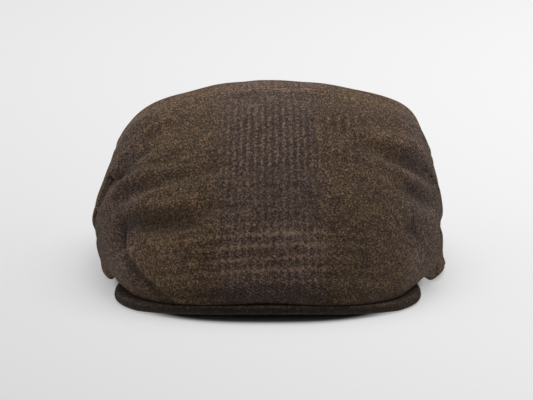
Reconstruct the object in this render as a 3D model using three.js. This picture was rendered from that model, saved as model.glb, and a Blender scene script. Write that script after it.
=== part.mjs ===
import * as THREE from "three";

// Flat cap: a soft crown of one top panel and two side panels over a short covered peak.
// Millimetres, +Z up, the peak points to -Y, +X is to the right of someone who looks at the front.

// ---------------------------------------------------------------- driving sizes
const CREST_HEIGHT = 99.8; // highest point of the crown above the surface it rests on
const CREST_Y = 18.0; // vertical axis that the sections are measured from
const CLOTH = 2.4; // outer cloth with its backing and turnings
const SEAM_GAP = 0.42; // open line between two panels
const PEAK_THICK = 4.4; // stiffened peak with cloth on both faces
const PEAK_ARCH = 3.5; // rise of the middle of the peak above its two ends
const PEAK_ARCH_HALF = 68.0; // the peak touches the surface beyond this far from the middle
const PEAK_CLEAR = 0.35; // crown edge above the top of the peak
const CENTRE = [0.197, 2.676, 0]; // middle of the finished cap's outline, taken as origin

// A row per level of the crown, from the crest down: heights in front, left, right and back,
// then how far it reaches to the front, back, left and right of the axis, and how square its
// front half and back half are (2 is an ellipse).
const LEVELS = [
  { name: "top", zFront: 94.0, zLeft: 92.2, zRight: 93.8, zBack: 94.0, front: 58.0, back: 40.0, left: 46.0, right: 51.0, squareFront: 2.1, squareBack: 2.05 },
  { name: "shoulder", zFront: 75.5, zLeft: 80.2, zRight: 82.4, zBack: 76.5, front: 97.0, back: 75.0, left: 74.0, right: 80.2, squareFront: 2.3, squareBack: 2.12 },
  { name: "wall", zFront: 48.0, zLeft: 52.5, zRight: 55.0, zBack: 50.0, front: 125.0, back: 97.0, left: 88.5, right: 91.5, squareFront: 2.55, squareBack: 2.2 },
  { name: "bulge", zFront: 20.0, zLeft: 27.0, zRight: 28.0, zBack: 24.0, front: 136.5, back: 108.0, left: 95.6, right: 95.8, squareFront: 2.65, squareBack: 2.25 },
];

// A row per station of the crown's lower edge: degrees from the front, then the reach from the
// axis on the left and on the right. It lies on the peak in front and is the hem elsewhere.
const EDGE = [
  { angle: 0, left: 134.2, right: 134.2 },
  { angle: 9, left: 137.2, right: 137.6 },
  { angle: 14.5, left: 138.2, right: 138.8 },
  { angle: 21, left: 137.0, right: 137.4 },
  { angle: 26, left: 133.4, right: 133.8 },
  { angle: 32, left: 127.2, right: 127.8 },
  { angle: 38, left: 118.8, right: 119.2 },
  { angle: 46, left: 109.4, right: 110.2 },
  { angle: 53, left: 102.8, right: 104.6 },
  { angle: 62, left: 97.8, right: 101.8 },
  { angle: 71, left: 94.0, right: 99.2 },
  { angle: 80, left: 91.2, right: 96.2 },
  { angle: 90, left: 90.8, right: 95.0 },
  { angle: 100, left: 92.4, right: 95.6 },
  { angle: 115, left: 96.2, right: 98.0 },
  { angle: 130, left: 100.4, right: 101.4 },
  { angle: 145, left: 103.6, right: 104.0 },
  { angle: 162, left: 105.0, right: 105.2 },
  { angle: 180, left: 105.2, right: 105.2 },
];
const LIFT_FROM = 53; // degrees: the edge lies on the peak up to here
const LIFT_TO = 62; // degrees: from here back the hem lies on the surface below

// A row per station of the seam along the top of a side panel: column of the cloth in degrees
// from the front, then its height on the left and on the right.
const SEAM = [
  { angle: 66, left: 55.4, right: 55.4 },
  { angle: 74, left: 59.0, right: 59.2 },
  { angle: 86, left: 61.5, right: 62.0 },
  { angle: 100, left: 62.0, right: 63.0 },
  { angle: 119, left: 61.0, right: 62.0 },
  { angle: 143, left: 59.0, right: 59.0 },
  { angle: 180, left: 54.0, right: 54.0 },
];
// A row per level of the seam down the front of a side panel: degrees from the front on the left
// and on the right.
const FRONT_SEAM = [
  { level: 2.86, left: 61.0, right: 65.5 },
  { level: 3.1, left: 63.5, right: 67.5 },
  { level: 3.33, left: 66.0, right: 69.0 },
  { level: 3.6, left: 67.5, right: 70.5 },
  { level: 4.0, left: 70.5, right: 72.5 },
  { level: 4.5, left: 74.5, right: 75.5 },
  { level: 5.0, left: 78.0, right: 78.0 },
];
const SIDE_COLUMN = 66; // column of the cloth that follows the front seam, degrees
const LEAN_FROM = 18; // columns lean with that seam between these, degrees
const LEAN_TO = 150;

// A row per fold: it runs from one angle and level to another (levels count down from the
// crest at 0 to the edge at 5), with its half width and its rise (+) or depth (-) in mm.
const FOLDS = [
  { name: "left brow ridge", a0: -66, l0: 2.85, a1: -48, l1: 1.35, width: 6.5, rise: 2.8 },
  { name: "left shoulder hollow", a0: -66, l0: 2.2, a1: -56, l1: 1.5, width: 9.0, rise: -2.0 },
  { name: "left middle ridge", a0: -56, l0: 3.2, a1: -36, l1: 2.32, width: 5.5, rise: 2.8 },
  { name: "left middle valley", a0: -48, l0: 2.95, a1: -16, l1: 2.17, width: 5.0, rise: -2.2 },
  { name: "left lower ridge", a0: -41, l0: 3.1, a1: -29, l1: 2.59, width: 5.0, rise: 1.8 },
  { name: "left lower valley", a0: -41, l0: 3.22, a1: -14, l1: 2.9, width: 8.0, rise: -2.8 },
  { name: "left front pinch", a0: -33, l0: 3.55, a1: -44, l1: 3.62, width: 5.0, rise: -3.0 },
  { name: "left side tuck", a0: -56, l0: 4.25, a1: -82, l1: 4.2, width: 6.0, rise: -2.4 },
  { name: "left hem roll", a0: -55, l0: 4.88, a1: -76, l1: 4.9, width: 3.6, rise: 1.0 },
  { name: "right brow ridge", a0: 36, l0: 1.6, a1: 66, l1: 2.45, width: 6.0, rise: 2.4 },
  { name: "right wall ridge", a0: 66, l0: 2.45, a1: 76, l1: 3.1, width: 6.0, rise: 1.2 },
  { name: "right brow valley", a0: 35, l0: 1.95, a1: 62, l1: 2.92, width: 5.5, rise: -2.6 },
  { name: "right lower ridge", a0: 38, l0: 2.4, a1: 49, l1: 2.9, width: 5.0, rise: 2.0 },
  { name: "right lower valley", a0: 38, l0: 2.75, a1: 56, l1: 3.2, width: 5.5, rise: -2.0 },
  { name: "right pinch ridge", a0: 36, l0: 3.05, a1: 42, l1: 3.15, width: 4.5, rise: 1.2 },
  { name: "right front pinch", a0: 34, l0: 3.42, a1: 44, l1: 3.5, width: 5.0, rise: -2.6 },
  { name: "right front hollow", a0: 27, l0: 3.7, a1: 36, l1: 3.55, width: 8.0, rise: -1.6 },
  { name: "right corner bulge", a0: 56, l0: 3.4, a1: 47, l1: 4.5, width: 9.0, rise: 1.6 },
  { name: "right side tuck", a0: 56, l0: 4.0, a1: 78, l1: 4.05, width: 5.0, rise: -2.4 },
  { name: "right hem roll", a0: 54, l0: 4.86, a1: 78, l1: 4.88, width: 4.2, rise: 2.8 },
  { name: "front roll", a0: -28, l0: 4.4, a1: 28, l1: 4.4, width: 6.0, rise: 0.8 },
  { name: "back left hollow", a0: -118, l0: 1.9, a1: -150, l1: 2.9, width: 10.0, rise: -1.8 },
  { name: "back left ridge", a0: -112, l0: 2.4, a1: -138, l1: 3.2, width: 8.0, rise: 1.4 },
  { name: "back right hollow", a0: 122, l0: 1.8, a1: 156, l1: 2.7, width: 10.0, rise: -1.8 },
  { name: "back right ridge", a0: 112, l0: 2.3, a1: 142, l1: 3.1, width: 8.0, rise: 1.4 },
];

// Peak outline: an egg-shaped outer edge, and a root edge that follows the head opening.
const PEAK_OUTER = { y: -66, half: 81, front: 55, back: 70, square: 2.3 };
const PEAK_ROOT = { y: 18, half: 88, front: 88, back: 88, square: 2.3 };
const PEAK_FAN_Y = -30; // the peak is laid out as a fan about this point
const PEAK_FAN = 78; // degrees to each side

// How finely the cloth is cut into flat facets
const FRONT_COLUMNS = 40; // from one front seam to the other
const BACK_COLUMNS = 23; // from a front seam to the centre back
const TOP_RINGS = 12; // from the crest to the height of the side panels
const SKIRT_ROWS = 7; // from there to the edge in front
const SIDE_ROWS = 8;
const PEAK_COLUMNS = 42;

// ---------------------------------------------------------------- curves through the tables
const rad = (d) => (d * Math.PI) / 180;
const clamp = (x, lo, hi) => Math.min(hi, Math.max(lo, x));
const ease = (x) => clamp(x, 0, 1) ** 2 * (3 - 2 * clamp(x, 0, 1));

// Smooth curve through table rows, level at both ends
function curve(rows, key, at, along = "angle") {
  const n = rows.length;
  const x = rows.map((r) => r[along]);
  const y = rows.map((r) => r[key]);
  const step = (i) => (y[i + 1] - y[i]) / (x[i + 1] - x[i]);
  const slope = (i) => {
    if (i === 0 || i === n - 1) return 0;
    const a = step(i - 1);
    const b = step(i);
    if (a * b <= 0) return 0;
    const h0 = x[i] - x[i - 1];
    const h1 = x[i + 1] - x[i];
    const w1 = 2 * h1 + h0;
    const w2 = h1 + 2 * h0;
    return (w1 + w2) / (w1 / a + w2 / b);
  };
  const q = clamp(at, x[0], x[n - 1]);
  let i = 0;
  while (i < n - 2 && q >= x[i + 1]) i++;
  const h = x[i + 1] - x[i];
  const u = (q - x[i]) / h;
  return (
    (1 + 2 * u) * (1 - u) ** 2 * y[i] +
    u * (1 - u) ** 2 * h * slope(i) +
    u * u * (3 - 2 * u) * y[i + 1] +
    u * u * (u - 1) * h * slope(i + 1)
  );
}

// Height of the top of the peak across its width
const peakBelow = (x) => PEAK_ARCH * Math.max(0, 1 - (x / PEAK_ARCH_HALF) ** 2);
const peakTop = (x) => peakBelow(x) + PEAK_THICK;

// Reach and height of every level in the vertical plane at one angle from the front
function section(angle) {
  const s = Math.sin(angle);
  const c = Math.cos(angle);
  const rows = [{ r: 0, z: CREST_HEIGHT }];
  for (const k of LEVELS) {
    const half = s < 0 ? k.left : k.right;
    const long = c >= 0 ? k.front : k.back;
    const side = (k.zLeft + k.zRight) / 2 + ((k.zRight - k.zLeft) / 2) * s;
    const square = c >= 0 ? k.squareFront : k.squareBack;
    const r = (Math.abs(s / half) ** square + Math.abs(c / long) ** square) ** (-1 / square);
    const z = side + (k.zFront - side) * Math.max(0, c) ** 2 + (k.zBack - side) * Math.max(0, -c) ** 2;
    rows.push({ r, z });
  }
  const deg = Math.abs((Math.atan2(s, c) * 180) / Math.PI);
  const w = 0.5 + 0.5 * clamp(s * 6, -1, 1);
  const r = curve(EDGE, "left", deg) * (1 - w) + curve(EDGE, "right", deg) * w;
  const u = clamp((deg - LIFT_FROM) / (LIFT_TO - LIFT_FROM), 0, 1);
  const z = (peakTop((r - CLOTH) * s) + PEAK_CLEAR) * (1 - u * u * (3 - 2 * u));
  rows.push({ r, z });
  return rows;
}

// Point of the unfolded outer surface
function smoothPoint(angle, level) {
  const rows = section(angle);
  const n = rows.length - 1;
  const k = clamp(Math.floor(level), 0, n - 1);
  const u = level - k;
  const slope = (i, key) => {
    if (i === 0) return key === "r" ? rows[1].r : 0;
    if (i === n) return (rows[n][key] - rows[n - 1][key]) * (key === "r" ? 1.3 : 1);
    return (rows[i + 1][key] - rows[i - 1][key]) / 2;
  };
  const mix = (key) =>
    (1 + 2 * u) * (1 - u) ** 2 * rows[k][key] +
    u * (1 - u) ** 2 * slope(k, key) +
    u * u * (3 - 2 * u) * rows[k + 1][key] +
    u * u * (u - 1) * slope(k + 1, key);
  const r = mix("r");
  return new THREE.Vector3(r * Math.sin(angle), CREST_Y - r * Math.cos(angle), mix("z"));
}

// Outward direction, turned level towards the edge so that the edge is cut flat
function outward(angle, level) {
  if (level < 0.02) return new THREE.Vector3(0, 0, 1);
  const t = clamp(level, 0.04, 4.97);
  const across = smoothPoint(angle + 1e-3, t).sub(smoothPoint(angle - 1e-3, t));
  const down = smoothPoint(angle, t + 0.02).sub(smoothPoint(angle, t - 0.02));
  const n = down.cross(across).normalize();
  const flat = clamp((level - 4.3) / 0.7, 0, 1);
  n.z *= 1 - flat * flat * (3 - 2 * flat);
  return n.normalize();
}

// Folds lie along lines on the unfolded surface
const FOLD_STEPS = 12;
const foldLines = FOLDS.map((f) =>
  Array.from({ length: FOLD_STEPS + 1 }, (_, i) => {
    const s = i / FOLD_STEPS;
    return smoothPoint(rad(f.a0 + (f.a1 - f.a0) * s), f.l0 + (f.l1 - f.l0) * s);
  }),
);
const segment = new THREE.Line3();
const nearest = new THREE.Vector3();
function foldRise(p, level) {
  let sum = 0;
  FOLDS.forEach((f, j) => {
    let best = Infinity;
    let at = 0;
    for (let i = 0; i < FOLD_STEPS; i++) {
      segment.set(foldLines[j][i], foldLines[j][i + 1]);
      const u = segment.closestPointToPointParameter(p, true);
      segment.at(u, nearest);
      const d = nearest.distanceTo(p);
      if (d < best) {
        best = d;
        at = (i + u) / FOLD_STEPS;
      }
    }
    sum += f.rise * Math.exp(-((best / f.width) ** 2)) * (0.4 + 0.6 * Math.sqrt(Math.sin(Math.PI * clamp(at, 0, 1))));
  });
  const still = clamp((5 - level) / 0.12, 0, 1); // the edge itself keeps its line
  return sum * still;
}
function clothPoint(angle, level, depth) {
  const p = smoothPoint(angle, level);
  return p.clone().addScaledVector(outward(angle, level), foldRise(p, level) - depth);
}

// Angle at one level of a column of the cloth: columns lean so that one follows each front seam
function columnAngle(column, level) {
  const away = Math.abs(column);
  const lean = curve(FRONT_SEAM, column < 0 ? "left" : "right", level, "level") - SIDE_COLUMN;
  const share = ease((away - LEAN_FROM) / (SIDE_COLUMN - LEAN_FROM)) * ease((LEAN_TO - away) / (LEAN_TO - SIDE_COLUMN));
  return rad(column + Math.sign(column) * lean * share);
}
// Level where a column passes the height of the side panels' top seam
function seamLevel(column) {
  const height = curve(SEAM, column < 0 ? "left" : "right", Math.abs(column));
  let lo = 1.2;
  let hi = 5;
  for (let i = 0; i < 40; i++) {
    const mid = (lo + hi) / 2;
    if (smoothPoint(columnAngle(column, mid), mid).z > height) lo = mid;
    else hi = mid;
  }
  return (lo + hi) / 2;
}
// Half a seam gap, as a step in level and as a step in columns
function gapStep(column, level) {
  const angle = columnAngle(column, level);
  return (SEAM_GAP / 2) * (0.2 / smoothPoint(angle, level + 0.1).distanceTo(smoothPoint(angle, level - 0.1)));
}
const GAP_COLUMN = (SEAM_GAP / 2 / 92) * (180 / Math.PI);

// ---------------------------------------------------------------- closed cloth from a sheet
// cells: corners of each cell of the sheet, counterclockwise from outside, as names of places
// place: point of a named corner at a depth under the outer face
function clothGeometry(cells, place) {
  const points = [];
  const faces = [];
  const index = new Map();
  const put = (name, inner) => {
    const key = `${name}${inner ? "i" : "o"}`;
    if (!index.has(key)) {
      const p = place(name, inner ? CLOTH : 0);
      index.set(key, points.push(p.x - CENTRE[0], p.y - CENTRE[1], p.z - CENTRE[2]) / 3 - 1);
    }
    return index.get(key);
  };
  const border = new Map(); // edges that only one cell uses
  for (const cell of cells) {
    cell.forEach((a, k) => {
      const b = cell[(k + 1) % cell.length];
      if (!border.delete(`${b}>${a}`)) border.set(`${a}>${b}`, [a, b]);
    });
    for (let k = 1; k < cell.length - 1; k++) {
      faces.push(put(cell[0], false), put(cell[k], false), put(cell[k + 1], false));
      faces.push(put(cell[0], true), put(cell[k + 1], true), put(cell[k], true));
    }
  }
  for (const [a, b] of border.values()) {
    faces.push(put(b, false), put(a, false), put(a, true));
    faces.push(put(b, false), put(a, true), put(b, true));
  }
  const geometry = new THREE.BufferGeometry();
  geometry.setAttribute("position", new THREE.Float32BufferAttribute(points, 3));
  geometry.setIndex(faces);
  geometry.computeVertexNormals();
  return geometry;
}
const spread = (from, to, n) => Array.from({ length: n + 1 }, (_, i) => from + ((to - from) * i) / n);
const cell = (k, n, j) => [`${k},${j}`, `${k},${j + 1}`, `${n},${j + 1}`, `${n},${j}`];

// ---------------------------------------------------------------- panels
const sideColumns = spread(SIDE_COLUMN, 180, BACK_COLUMNS); // shared by the panels on both sides of a seam
const sideNext = sideColumns.slice(1);

function topPanel() {
  const front = spread(-SIDE_COLUMN + GAP_COLUMN, SIDE_COLUMN - GAP_COLUMN, FRONT_COLUMNS);
  const columns = [...sideNext.map((c) => -c).reverse(), ...front, ...sideNext.slice(0, -1)];
  const levels = columns.map((c) => {
    const s = seamLevel(c);
    const end = s - gapStep(c, s);
    return [...spread(0, end, TOP_RINGS), ...spread(end, 5, SKIRT_ROWS).slice(1)];
  });
  const cells = [];
  columns.forEach((c, k) => {
    const n = (k + 1) % columns.length;
    cells.push(["crest", `${k},1`, `${n},1`]);
    for (let j = 1; j < TOP_RINGS; j++) cells.push(cell(k, n, j));
    const skirt = Math.abs(c) < SIDE_COLUMN && Math.abs(columns[n]) < SIDE_COLUMN;
    for (let j = 0; skirt && j < SKIRT_ROWS; j++) cells.push(cell(k, n, TOP_RINGS + j));
  });
  return clothGeometry(cells, (name, depth) => {
    if (name === "crest") return clothPoint(0, 0, depth);
    const [k, j] = name.split(",").map(Number);
    const level = levels[k][j];
    return clothPoint(columnAngle(columns[k], level), level, depth);
  });
}

// sign: -1 on the left, 1 on the right
function sidePanel(sign) {
  const backGap = (SEAM_GAP / 2 / 105) * (180 / Math.PI);
  const columns = [SIDE_COLUMN + GAP_COLUMN, ...sideNext.slice(0, -1), 180 - backGap].map((c) => sign * c);
  if (sign < 0) columns.reverse();
  const levels = columns.map((c) => {
    const s = seamLevel(c);
    return spread(s + gapStep(c, s), 5, SIDE_ROWS);
  });
  const cells = [];
  for (let k = 0; k < columns.length - 1; k++) for (let j = 0; j < SIDE_ROWS; j++) cells.push(cell(k, k + 1, j));
  return clothGeometry(cells, (name, depth) => {
    const [k, j] = name.split(",").map(Number);
    const level = levels[k][j];
    return clothPoint(columnAngle(columns[k], level), level, depth);
  });
}

// ---------------------------------------------------------------- peak
// Distance along a ray of the fan to an egg-shaped outline
function reach(outline, angle) {
  const inside = (d) => {
    const x = d * Math.sin(angle);
    const y = PEAK_FAN_Y - d * Math.cos(angle) - outline.y;
    const long = y < 0 ? outline.front : outline.back;
    return Math.abs(x / outline.half) ** outline.square + Math.abs(y / long) ** outline.square < 1;
  };
  let lo = 0;
  let hi = 200;
  for (let i = 0; i < 50; i++) {
    const mid = (lo + hi) / 2;
    if (inside(mid)) lo = mid;
    else hi = mid;
  }
  return lo;
}
// Roundness of the peak's edge: 0 at the edge itself, 1 from half a thickness inwards
const PEAK_ROUND = PEAK_THICK / 2;
const rounded = (d) => Math.sqrt(Math.max(0, 1 - (1 - Math.min(1, d / PEAK_ROUND)) ** 2));
const EDGE_STEPS = [0, 0.25, 0.9, 2.2]; // distances in from an edge, mm

function peak() {
  const ends = EDGE_STEPS.map((d) => PEAK_FAN - (d / 80) * (180 / Math.PI));
  const inner = spread(-ends[3], ends[3], PEAK_COLUMNS);
  const fan = [-ends[0], -ends[1], -ends[2], ...inner, ends[2], ends[1], ends[0]];
  const grid = (sign) =>
    fan.map((deg) => {
      const a = rad(deg);
      const from = reach(PEAK_ROOT, a);
      const to = reach(PEAK_OUTER, a);
      const width = to - from;
      const steps = [
        ...EDGE_STEPS,
        ...[0.22, 0.42, 0.62, 0.82].map((f) => f * width).filter((d) => d > 3 && d < width - 3),
        ...EDGE_STEPS.slice().reverse().map((d) => width - d),
      ];
      const full = EDGE_STEPS.length * 2 + 4;
      while (steps.length < full) steps.splice(EDGE_STEPS.length, 0, steps[EDGE_STEPS.length - 1] + 0.3);
      const end = ((PEAK_FAN - Math.abs(deg)) * Math.PI * 80) / 180;
      return steps.map((d) => {
        const r = from + d;
        const x = r * Math.sin(a);
        const y = PEAK_FAN_Y - r * Math.cos(a);
        const h = (PEAK_THICK / 2) * rounded(d) * rounded(width - d) * rounded(end);
        return new THREE.Vector3(x, y, peakBelow(x) + PEAK_THICK / 2 + sign * h);
      });
    });
  const upper = grid(1);
  const lower = grid(-1);
  const cols = upper.length;
  const rows = upper[0].length;
  const points = [];
  const faces = [];
  const put = (p) => points.push(p.x - CENTRE[0], p.y - CENTRE[1], p.z - CENTRE[2]) / 3 - 1;
  const rim = (k, j) => k === 0 || k === cols - 1 || j === 0 || j === rows - 1;
  const top = upper.map((col) => col.map(put));
  const bottom = lower.map((col, k) => col.map((p, j) => (rim(k, j) ? top[k][j] : put(p))));
  for (let k = 0; k < cols - 1; k++)
    for (let j = 0; j < rows - 1; j++) {
      const [a, b, c, d] = [top[k][j], top[k][j + 1], top[k + 1][j + 1], top[k + 1][j]];
      faces.push(a, b, c, a, c, d);
      const [e, f, g, h] = [bottom[k][j], bottom[k][j + 1], bottom[k + 1][j + 1], bottom[k + 1][j]];
      faces.push(e, g, f, e, h, g);
    }
  const geometry = new THREE.BufferGeometry();
  geometry.setAttribute("position", new THREE.Float32BufferAttribute(points, 3));
  geometry.setIndex(faces);
  geometry.computeVertexNormals();
  return geometry;
}

// ---------------------------------------------------------------- assembly
const wool = (color) => new THREE.MeshStandardMaterial({ color, roughness: 0.95, metalness: 0 });
const group = new THREE.Group();
group.name = "flat_cap";
const add = (name, geometry, material) => {
  const mesh = new THREE.Mesh(geometry, material);
  mesh.name = name;
  group.add(mesh);
};
add("top_panel", topPanel(), wool(0x5a4a3e));
add("left_side_panel", sidePanel(-1), wool(0x57473f));
add("right_side_panel", sidePanel(1), wool(0x5b4b43));
add("peak", peak(), wool(0x3b3029));

export default group;
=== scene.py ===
import math

import bpy
import numpy as np
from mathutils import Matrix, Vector


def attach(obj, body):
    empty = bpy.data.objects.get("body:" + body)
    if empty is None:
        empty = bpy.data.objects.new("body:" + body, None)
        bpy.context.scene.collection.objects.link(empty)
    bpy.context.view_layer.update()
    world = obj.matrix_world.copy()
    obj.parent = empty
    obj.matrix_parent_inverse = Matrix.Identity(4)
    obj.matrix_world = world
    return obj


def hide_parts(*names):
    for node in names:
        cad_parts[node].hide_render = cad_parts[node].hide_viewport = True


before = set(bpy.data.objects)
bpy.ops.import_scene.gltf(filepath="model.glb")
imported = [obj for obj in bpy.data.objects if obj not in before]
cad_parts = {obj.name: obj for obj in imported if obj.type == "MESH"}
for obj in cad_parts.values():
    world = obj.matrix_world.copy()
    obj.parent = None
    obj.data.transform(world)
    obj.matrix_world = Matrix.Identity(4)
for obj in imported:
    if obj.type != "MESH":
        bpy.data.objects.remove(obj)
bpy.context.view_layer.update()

# ------------------------------------------------------------------ camera
# The photo looks at the front of the cap from 12 degrees above level.
ELEVATION = math.radians(12.0)
DISTANCE = 1.5
AIM = Vector((-0.000857, -0.002676, 0.0379))
LENS = 184.2
camera_data = bpy.data.cameras.new("camera")
camera_data.lens = LENS
camera_data.sensor_width = 36.0
camera_data.clip_start = 0.05
camera_data.clip_end = 60.0
camera = bpy.data.objects.new("camera", camera_data)
bpy.context.scene.collection.objects.link(camera)
camera.location = AIM + Vector((0, -math.cos(ELEVATION), math.sin(ELEVATION))) * DISTANCE
camera.rotation_euler = (math.pi / 2 - ELEVATION, 0, 0)
bpy.context.scene.camera = camera
bpy.context.scene.view_settings.view_transform = "Standard"
bpy.context.scene.view_settings.look = "None"

# ------------------------------------------------------------------ sizes, in mm
CREST_HEIGHT = 99.8
CREST_Y = 18.0
CLOTH = 2.4
SEAM_GAP = 0.0
PEAK_THICK = 4.4
PEAK_ARCH = 3.5
PEAK_ARCH_HALF = 68.0
PEAK_CLEAR = 0.35
CENTRE = np.array([0.197, 2.676, 0.0])
LIFT_FROM, LIFT_TO = 53.0, 62.0
SIDE_COLUMN = 66.0  # column of the cloth that follows the seam down the front of a side panel, degrees
LEAN_FROM, LEAN_TO = 18.0, 150.0

# level of the crown: heights front/left/right/back, reach front/back/left/right, squareness front/back
LEVELS = (
    ("top", 94.0, 92.2, 93.8, 94.0, 58.0, 40.0, 46.0, 51.0, 2.10, 2.05),
    ("shoulder", 75.5, 80.2, 82.4, 76.5, 97.0, 75.0, 74.0, 80.2, 2.30, 2.12),
    ("wall", 48.0, 52.5, 55.0, 50.0, 125.0, 97.0, 88.5, 91.5, 2.55, 2.20),
    ("bulge", 20.0, 27.0, 28.0, 24.0, 136.5, 108.0, 95.6, 95.8, 2.65, 2.25),
)
# lower edge: degrees from the front, reach on the left, reach on the right
EDGE = (
    (0, 134.2, 134.2), (9, 137.2, 137.6), (14.5, 138.2, 138.8), (21, 137.0, 137.4), (26, 133.4, 133.8),
    (32, 127.2, 127.8), (38, 118.8, 119.2), (46, 109.4, 110.2), (53, 102.8, 104.6), (62, 97.8, 101.8),
    (71, 94.0, 99.2), (80, 91.2, 96.2), (90, 90.8, 95.0), (100, 92.4, 95.6), (115, 96.2, 98.0),
    (130, 100.4, 101.4), (145, 103.6, 104.0), (162, 105.0, 105.2), (180, 105.2, 105.2),
)
# seam along the top of a side panel: column in degrees from the front, height on the left, on the right
SEAM = (
    (66, 55.4, 55.4), (74, 59.0, 59.2), (86, 61.5, 62.0), (100, 62.0, 63.0), (119, 61.0, 62.0), (143, 59.0, 59.0),
    (180, 54.0, 54.0),
)
# seam down the front of a side panel: level, degrees from the front on the left, on the right
FRONT_SEAM = (
    (2.86, 61.0, 65.5), (3.10, 63.5, 67.5), (3.33, 66.0, 69.0), (3.60, 67.5, 70.5), (4.00, 70.5, 72.5), (4.50, 74.5, 75.5),
    (5.00, 78.0, 78.0),
)
# fold: from angle/level to angle/level, half width, rise (+) or depth (-)
FOLDS = (
    ("left brow ridge", -66, 2.85, -48, 1.35, 6.5, 2.8),
    ("left shoulder hollow", -66, 2.2, -56, 1.5, 9.0, -2.0),
    ("left middle ridge", -56, 3.2, -36, 2.32, 5.5, 2.8),
    ("left middle valley", -48, 2.95, -16, 2.17, 5.0, -2.2),
    ("left lower ridge", -41, 3.1, -29, 2.59, 5.0, 1.8),
    ("left lower valley", -41, 3.22, -14, 2.9, 8.0, -2.8),
    ("left front pinch", -33, 3.55, -44, 3.62, 5.0, -3.0),
    ("left side tuck", -56, 4.25, -82, 4.2, 6.0, -2.4),
    ("left hem roll", -55, 4.88, -76, 4.9, 3.6, 1.0),
    ("right brow ridge", 36, 1.6, 66, 2.45, 6.0, 2.4),
    ("right wall ridge", 66, 2.45, 76, 3.1, 6.0, 1.2),
    ("right brow valley", 35, 1.95, 62, 2.92, 5.5, -2.6),
    ("right lower ridge", 38, 2.4, 49, 2.9, 5.0, 2.0),
    ("right lower valley", 38, 2.75, 56, 3.2, 5.5, -2.0),
    ("right pinch ridge", 36, 3.05, 42, 3.15, 4.5, 1.2),
    ("right front pinch", 34, 3.42, 44, 3.5, 5.0, -2.6),
    ("right front hollow", 27, 3.7, 36, 3.55, 8.0, -1.6),
    ("right corner bulge", 56, 3.4, 47, 4.5, 9.0, 1.6),
    ("right side tuck", 56, 4.0, 78, 4.05, 5.0, -2.4),
    ("right hem roll", 54, 4.86, 78, 4.88, 4.2, 2.8),
    ("front roll", -28, 4.4, 28, 4.4, 6.0, 0.8),
    ("back left hollow", -118, 1.9, -150, 2.9, 10.0, -1.8),
    ("back left ridge", -112, 2.4, -138, 3.2, 8.0, 1.4),
    ("back right hollow", 122, 1.8, 156, 2.7, 10.0, -1.8),
    ("back right ridge", 112, 2.3, 142, 3.1, 8.0, 1.4),
)
# small creases too fine for the frame's facets
CREASES = (
    ("left pinch crease", -42.0, 3.34, -38.4, 3.64, 2.5, -4.2),
    ("left pinch lip", -38.5, 3.36, -36.0, 3.60, 1.8, 1.0),
    ("left tuck", -53.5, 2.67, -60.5, 2.86, 1.3, -1.5),
    ("left tuck lip", -54.5, 2.60, -61.5, 2.78, 1.6, 0.7),
    ("left front edge line", -36.5, 3.60, -24.0, 4.25, 1.3, 1.9),
    ("left front edge end", -25.0, 4.20, -17.5, 4.88, 1.3, 1.6),
    ("left front edge groove", -38.8, 3.70, -26.0, 4.36, 2.8, -2.3),
    ("left front edge groove end", -27.0, 4.30, -20.5, 4.95, 2.6, -1.7),
    ("right tuck", 61.0, 2.66, 65.3, 2.90, 1.3, -1.5),
    ("left brow lift", -61.5, 2.80, -52.5, 2.06, 2.8, 1.5),
    ("left brow lift end", -53.5, 2.12, -47.5, 1.28, 3.4, 1.2),
    ("left brow shade", -66, 2.25, -53, 1.25, 6.0, -1.4),
    ("left brow lower shade", -57, 2.86, -43, 2.05, 3.2, -1.5),
    ("left middle lift", -54, 3.30, -39.5, 2.26, 2.8, 1.5),
    ("left middle shade", -50, 2.72, -30, 2.10, 4.5, -1.2),
    ("left overhang", -44, 3.10, -18, 2.72, 4.5, 1.9),
    ("left overhang shade", -44, 3.38, -18, 3.02, 4.5, -1.9),
    ("left lower bulge", -40, 3.72, -20, 3.35, 7.0, 1.1),
    ("right brow lift", 36, 1.75, 64, 2.55, 4.0, 1.5),
    ("right brow shade", 37, 2.12, 63, 2.90, 4.5, -1.3),
    ("right second lift", 40, 2.38, 54, 2.95, 4.0, 1.2),
    ("right second shade", 42, 2.70, 58, 3.30, 4.5, -1.4),
    ("right corner edge", 58, 3.85, 52, 4.75, 4.0, 1.5),
    ("right lobe groove", 65.5, 4.2, 58.5, 4.97, 2.4, -3.6),
    ("left crease a", -52, 2.7, -30, 2.05, 2.6, -0.7),
    ("left crease b", -45, 3.0, -22, 2.62, 2.6, -0.6),
    ("left crease c", -60, 2.4, -46, 1.75, 2.4, -0.7),
    ("right crease a", 44, 2.15, 60, 2.65, 2.4, -0.8),
    ("right crease b", 40, 2.6, 50, 3.1, 2.4, -0.7),
    ("right crease c", 33, 2.1, 22, 1.9, 3.0, -0.4),
    ("right pinch crease", 39, 3.2, 41, 3.6, 1.7, -1.3),
    ("front crease a", -17, 4.3, -10, 4.75, 2.5, -0.4),
    ("front crease b", 16, 4.2, 21, 4.8, 2.2, -0.6),
    ("side crease left", -88, 3.4, -110, 2.9, 3.0, -0.8),
    ("side crease right", 90, 3.3, 108, 2.8, 3.0, -0.8),
    ("back crease a", -150, 3.7, -165, 4.6, 3.0, -0.8),
    ("back crease b", 148, 3.8, 166, 4.5, 3.0, -0.8),
    ("back crease c", -176, 3.0, -170, 3.5, 3.0, -0.6),
)
PEAK_OUTER = dict(y=-66.0, half=81.0, front=55.0, back=70.0, square=2.3)
PEAK_ROOT = dict(y=18.0, half=88.0, front=88.0, back=88.0, square=2.3)
PEAK_FAN_Y, PEAK_FAN = -30.0, 78.0


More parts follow.
